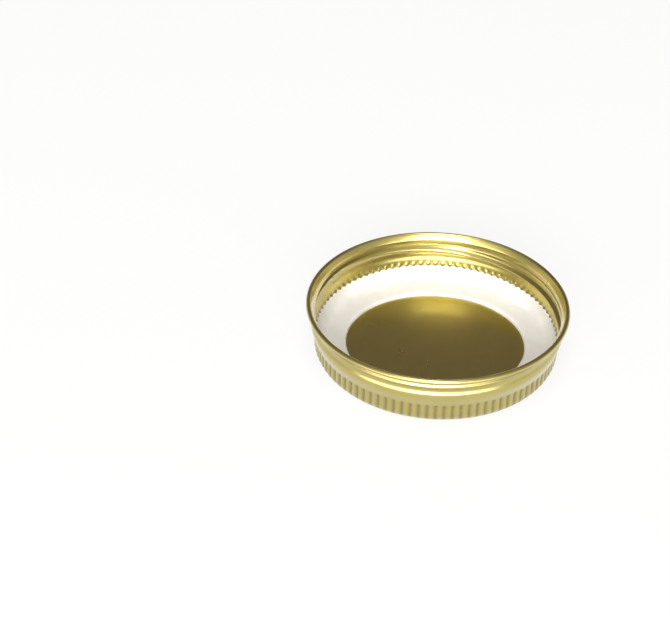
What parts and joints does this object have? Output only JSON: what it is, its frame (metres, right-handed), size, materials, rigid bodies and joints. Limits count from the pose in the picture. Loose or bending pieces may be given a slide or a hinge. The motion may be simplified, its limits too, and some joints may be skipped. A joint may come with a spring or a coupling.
{
  "type": "jar lid",
  "caption": "One-piece metal screw lid for a small jar, with a rolled thread, a knurled band, an outward curled rim and a white sealing ring.",
  "frame": {"origin": "on the lid's axis, at the surface that the raised bead of the top panel rests on", "axes": "+Z along the lid's axis, out of its opening"},
  "size_m": [0.0402, 0.0402, 0.0087],
  "materials": {
    "gold_lacquer": "satin gold lacquer on tinplate",
    "white_sealant": "smooth, slightly glossy"
  },
  "bodies": {
    "root": {"lid_shell": "gold_lacquer", "sealing_ring": "white_sealant"}
  },
  "joints": []
}
